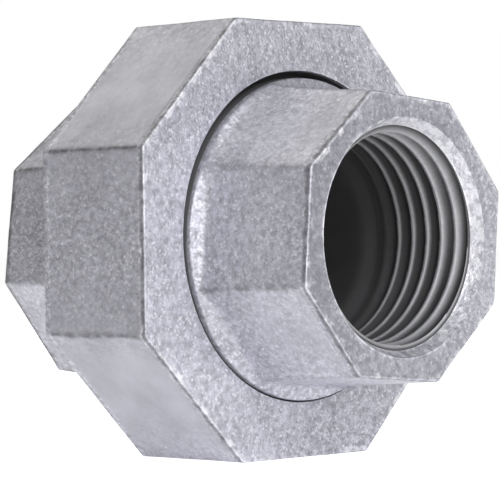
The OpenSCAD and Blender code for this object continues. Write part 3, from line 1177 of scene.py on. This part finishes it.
# Place of each soft panel of light, and its width
TOP_PANEL = (-0.25, -0.10, 0.50), 0.6
RIGHT_PANEL = (0.50, 0.06, 0.18), 0.4
FRONT_PANEL = (0.48, -0.20, 0.28), 0.5
BACK_PANEL = (-0.36, 0.48, 0.16), 0.4
# Distance from the middle to the floor's edges, and the glow that the camera sees on it
FLOOR_REACH = 3.0
SEEN_GLOW = 0.95
# Nearest and furthest that the camera sees
CAMERA_REACH = (0.01, 20.0)


def soft_light(name, place, width, power):
    """Soft square panel of light that faces the union, unseen by the camera."""
    data = bpy.data.lights.new(name, "AREA")
    data.shape = "SQUARE"
    data.size = width
    data.energy = power
    panel = bpy.data.objects.new(name, data)
    panel.location = place
    panel.rotation_euler = Vector(place).to_track_quat("Z", "Y").to_euler()
    panel.visible_camera = False
    bpy.context.scene.collection.objects.link(panel)
    return panel


class PIPE_UNION_OT_stage(bpy.types.Operator):
    """Pale floor, soft light and the camera"""

    bl_idname = "pipe_union.stage"
    bl_label = "Stage"

    def execute(self, context):
        scene, stage = context.scene, context.scene.union_stage
        scene.view_settings.view_transform = "Standard"
        self.set_world(scene, stage)
        self.lay_floor(scene, stage)
        top = soft_light("top panel", *TOP_PANEL, stage.top_power)
        top.data.color = stage.top_colour
        soft_light("right panel", *RIGHT_PANEL, stage.right_power)
        soft_light("front panel", *FRONT_PANEL, stage.front_power)
        soft_light("back panel", *BACK_PANEL, stage.back_power)
        self.set_camera(scene, stage)
        return {"FINISHED"}

    def set_world(self, scene, stage):
        """White surroundings that the camera sees in full and that light the union only a little."""
        world = bpy.data.worlds.new("white tent")
        scene.world = world
        world.use_nodes = True
        tree = world.node_tree
        tree.nodes.clear()
        seen = add_node(tree, "ShaderNodeBackground", [("Color", WHITE), ("Strength", 1.0)])
        lit = add_node(tree, "ShaderNodeBackground", [("Color", WHITE), ("Strength", stage.tent)])
        path = tree.nodes.new("ShaderNodeLightPath")
        mixed = add_node(tree, "ShaderNodeMixShader", [
            (0, path.outputs["Is Camera Ray"]), (1, lit.outputs[0]), (2, seen.outputs[0])])
        output = tree.nodes.new("ShaderNodeOutputWorld")
        tree.links.new(mixed.outputs[0], output.inputs["Surface"])

    def lay_floor(self, scene, stage):
        """White floor under the nut, with one glow for the camera and another that lights the union."""
        height = CAD_BOX[0].z
        corners = [(-1, -1), (1, -1), (1, 1), (-1, 1)]
        mesh = bpy.data.meshes.new("floor")
        mesh.from_pydata(
            [(FLOOR_REACH * x, FLOOR_REACH * y, height) for x, y in corners], [], [(0, 1, 2, 3)])
        floor = bpy.data.objects.new("floor", mesh)
        scene.collection.objects.link(floor)
        material, tree, shader = new_material("floor_white")
        shader.inputs["Base Color"].default_value = (*stage.floor, 1.0)
        shader.inputs["Roughness"].default_value = 0.9
        shader.inputs["Emission Color"].default_value = WHITE
        path = tree.nodes.new("ShaderNodeLightPath").outputs["Is Camera Ray"]
        glow = remap(tree, path, 0.0, 1.0, stage.floor_glow, SEEN_GLOW)
        tree.links.new(glow, shader.inputs["Emission Strength"])
        mesh.materials.append(material)

    def set_camera(self, scene, stage):
        """Camera level with the union's middle, at the photograph's angle."""
        data = bpy.data.cameras.new("camera")
        camera = bpy.data.objects.new("camera", data)
        scene.collection.objects.link(camera)
        data.lens = stage.focal_pixels / IMAGE_WIDTH * data.sensor_width
        data.clip_start, data.clip_end = CAMERA_REACH
        turn = Matrix.Rotation(stage.azimuth, 4, "Z") @ Matrix.Rotation(math.pi / 2, 4, "X")
        camera.matrix_world = (
            turn @ Matrix.Rotation(stage.roll, 4, "Z") @ Matrix.Translation((0, 0, stage.distance)))
        scene.camera = camera


class PIPE_UNION_PT_panel(bpy.types.Panel):
    """Lists the pieces and the stage in the sidebar"""

    bl_label = "Pipe Union"
    bl_idname = "PIPE_UNION_PT_panel"
    bl_space_type = "VIEW_3D"
    bl_region_type = "UI"
    bl_category = "Pipe Union"

    def draw(self, context):
        for operator in OPERATORS:
            self.layout.operator(operator.bl_idname)
        for group in (context.scene.union_sizes, context.scene.union_finish, context.scene.union_stage):
            box = self.layout.box()
            for name in group.__annotations__:
                box.prop(group, name)


OPERATORS = (
    PIPE_UNION_OT_nut,
    PIPE_UNION_OT_tail_piece,
    PIPE_UNION_OT_head_piece,
    PIPE_UNION_OT_gasket,
    PIPE_UNION_OT_stage,
)
CLASSES = (UnionSizes, UnionFinish, UnionStage, *OPERATORS, PIPE_UNION_PT_panel)


def register():
    for cls in CLASSES:
        bpy.utils.register_class(cls)
    bpy.types.Scene.union_sizes = bpy.props.PointerProperty(type=UnionSizes)
    bpy.types.Scene.union_finish = bpy.props.PointerProperty(type=UnionFinish)
    bpy.types.Scene.union_stage = bpy.props.PointerProperty(type=UnionStage)


def unregister():
    del bpy.types.Scene.union_stage
    del bpy.types.Scene.union_finish
    del bpy.types.Scene.union_sizes
    for cls in reversed(CLASSES):
        bpy.utils.unregister_class(cls)


def main():
    """Registers the classes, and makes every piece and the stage."""
    register()
    bpy.ops.pipe_union.nut()
    bpy.ops.pipe_union.tail_piece()
    bpy.ops.pipe_union.head_piece()
    bpy.ops.pipe_union.gasket()
    bpy.ops.pipe_union.stage()


if __name__ == "__main__":
    main()
